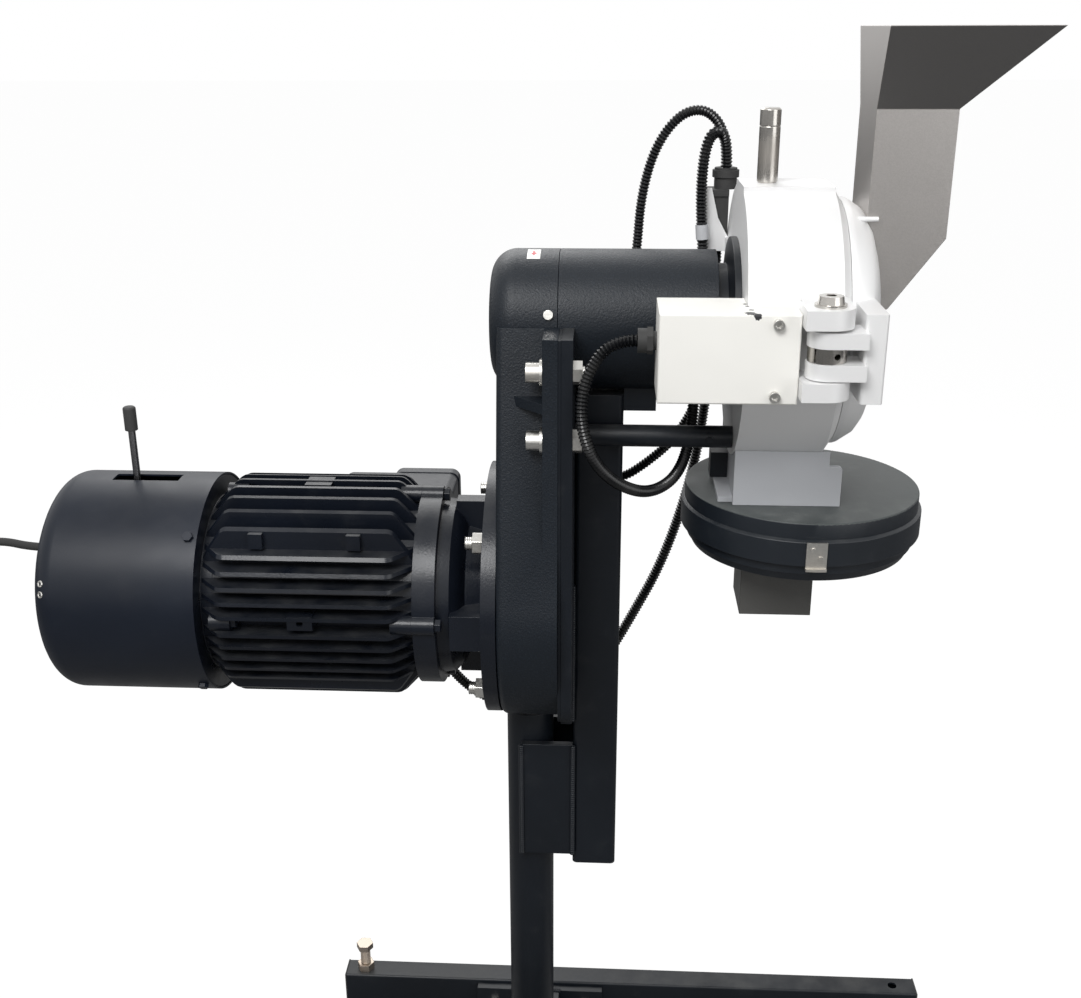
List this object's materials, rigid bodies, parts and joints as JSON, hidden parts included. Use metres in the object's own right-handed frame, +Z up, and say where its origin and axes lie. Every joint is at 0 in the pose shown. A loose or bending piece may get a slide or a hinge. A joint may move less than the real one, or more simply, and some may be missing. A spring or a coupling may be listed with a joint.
{
  "type": "electric grain mill",
  "caption": "Floor-standing electric grain mill: belt-driven grinding head with hinged door and hopper on a post stand, driven by a finned flange motor with brake.",
  "frame": {"origin": "on the floor, below the middle of the machine without its cord", "axes": "+X along the spindle from the motor to the hopper, +Z up, -Y towards the switch box side"},
  "size_m": [1.1905, 0.362, 1.215],
  "materials": {
    "black_paint": "satin blue-black paint",
    "black_crinkle": "crinkle black paint on castings",
    "white_paint": "white paint",
    "grey_paint": "light grey paint",
    "bare_stainless": "bead-blasted stainless sheet",
    "polished_steel": "polished steel",
    "zinc": "zinc-plated fasteners",
    "machined_steel": "machined steel",
    "grinding_steel": "hardened cast grinding discs",
    "black_plastic": "black plastic",
    "black_rubber": "black rubber",
    "copper_core": "laminated core and windings"
  },
  "bodies": {
    "stand_and_head": {"base_rail_front": "black_paint", "base_rail_rear": "black_paint", "bearing_tube": "black_crinkle", "belt_cover_cap": "black_crinkle", "brake_magnet": "machined_steel", "cable_gland": "black_plastic", "casing_bolts": "zinc", "casing_gasket": "black_rubber", "column_beam": "black_paint", "conduit_gland": "black_plastic", "cover_screws": "zinc", "cross_member": "black_paint", "discharge_chute": "grey_paint", "drive_belt": "black_rubber", "drive_casing": "black_crinkle", "drum_band": "black_paint", "drum_lid": "black_paint", "drum_pan": "black_paint", "fan_cowl": "black_paint", "flange_bolts": "zinc", "front_conduit": "black_plastic", "hinge_pin": "zinc", "levelling_screws": "zinc", "locating_pin": "polished_steel", "mill_housing": "white_paint", "motor_conduit": "black_plastic", "motor_end_shield": "black_paint", "motor_fasteners": "zinc", "motor_frame": "black_paint", "motor_rear_shield": "black_paint", "mounting_plate": "black_paint", "outlet_spout": "grey_paint", "pan_clip": "bare_stainless", "post": "black_paint", "post_cheeks": "black_paint", "rail_end_caps": "black_plastic", "rear_conduit": "black_plastic", "rear_switch": "black_plastic", "shaft_bearings": "machined_steel", "spindle_flange": "black_paint", "stator": "copper_core", "supply_cable": "black_rubber", "supply_coil": "black_rubber", "supply_plug": "black_plastic", "support_rod": "black_paint", "switch_box": "white_paint", "switch_bracket": "white_paint", "terminal_box": "black_paint"},
    "door": {"mill_door": "white_paint", "door_disc": "grinding_steel", "hopper": "bare_stainless"},
    "spindle": {"spindle_shaft": "machined_steel", "spindle_pulley": "machined_steel", "rotor_disc": "grinding_steel"},
    "rotor": {"motor_rotor": "machined_steel", "motor_pulley": "machined_steel", "cooling_fan": "black_plastic"},
    "release_lever": {"brake_lever": "zinc", "lever_grip": "black_plastic"}
  },
  "joints": [
    {"name": "door_hinge", "type": "hinge", "parent": "stand_and_head", "child": "door", "pos_m": [0.2455, -0.15, 0.96], "axis": [0, 0, -1], "range_deg": [0, 110]},
    {"name": "motor_spin", "type": "hinge", "parent": "stand_and_head", "child": "rotor", "pos_m": [-0.2, 0, 0.6875], "axis": [1, 0, 0], "continuous": true},
    {"name": "spindle_spin", "type": "hinge", "parent": "stand_and_head", "child": "spindle", "pos_m": [0.1, 0, 0.96], "axis": [1, 0, 0], "continuous": true},
    {"name": "release_lever", "type": "hinge", "parent": "stand_and_head", "child": "release_lever", "pos_m": [-0.3965, 0, 0.7275], "axis": [0, -1, 0], "range_deg": [0, 12], "stiffness_Nm_per_rad": 2, "springref_deg": -5.73}
  ],
  "couplings": [
    {"joint": "spindle_spin", "follows": "motor_spin", "ratio": 1.25}
  ]
}
